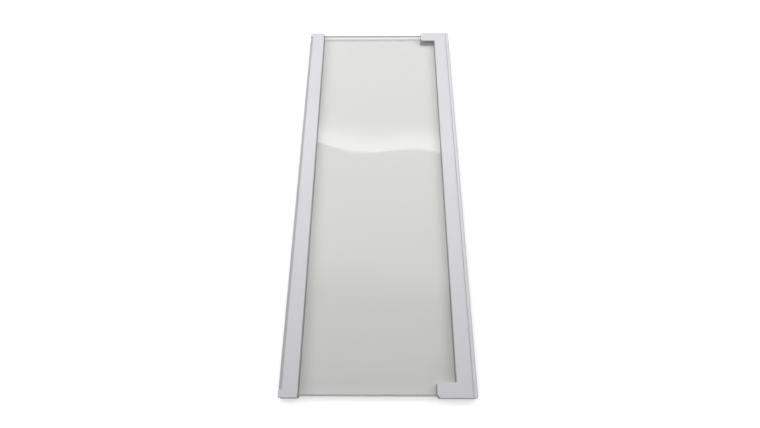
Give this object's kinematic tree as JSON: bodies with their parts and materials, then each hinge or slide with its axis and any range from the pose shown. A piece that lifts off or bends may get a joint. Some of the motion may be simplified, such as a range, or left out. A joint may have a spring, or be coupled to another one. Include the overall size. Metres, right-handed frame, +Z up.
{
  "type": "fridge glass shelf",
  "caption": "Flat glass pane with a straight, sloping-nosed front trim and a rear trim whose arms wrap the pane's corners; lifts out to store food in a cabinet.",
  "frame": {"origin": "on the surface that the trims stand on, under the middle of the shelf's outline", "axes": "+X along the trims, side to side in the cabinet; +Y from the front trim to the rear trim; +Z up"},
  "size_m": [0.4856, 0.1972, 0.012],
  "materials": {
    "glass": "clear toughened float glass with ground arrises",
    "white_plastic": "glossy moulded white, slightly cool"
  },
  "bodies": {
    "root": {"glass_pane": "glass", "front_trim": "white_plastic", "rear_trim": "white_plastic"}
  },
  "joints": []
}
